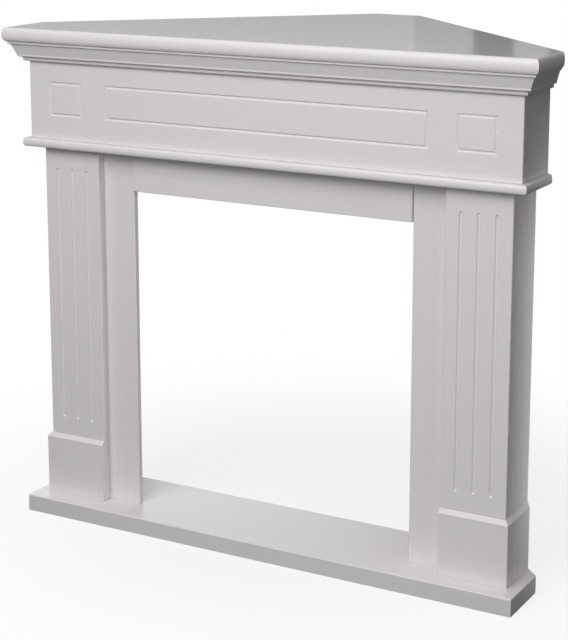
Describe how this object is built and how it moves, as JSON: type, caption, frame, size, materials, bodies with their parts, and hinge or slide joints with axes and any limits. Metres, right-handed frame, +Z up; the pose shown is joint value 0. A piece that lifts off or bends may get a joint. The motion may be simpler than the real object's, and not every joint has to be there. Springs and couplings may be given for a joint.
{
  "type": "corner fireplace mantelpiece",
  "caption": "White painted corner mantelpiece with fluted pilasters on plinths, a panelled frieze, a crown moulding, a bullnosed shelf cut to both walls, and a hearth board.",
  "frame": {"origin": "on the floor, under the middle of the whole object's box", "axes": "+Z up, -Y the front that faces the room, +X to the right seen from the front; the walls run at 45 degrees behind"},
  "size_m": [1.123, 0.6328, 1],
  "materials": {
    "white_paint": "white satin paint on fibreboard, with fine brush streaks"
  },
  "bodies": {
    "root": {"hearth_board": "white_paint", "header_board": "white_paint", "ledge_board": "white_paint", "frieze_front": "white_paint", "crown_front": "white_paint", "crown_left": "white_paint", "crown_right": "white_paint", "shelf": "white_paint", "plinth_front_left": "white_paint", "plinth_side_left": "white_paint", "pilaster_front_left": "white_paint", "pilaster_side_left": "white_paint", "slip_left": "white_paint", "frieze_side_left": "white_paint", "plinth_front_right": "white_paint", "plinth_side_right": "white_paint", "pilaster_front_right": "white_paint", "pilaster_side_right": "white_paint", "slip_right": "white_paint", "frieze_side_right": "white_paint"}
  },
  "joints": []
}
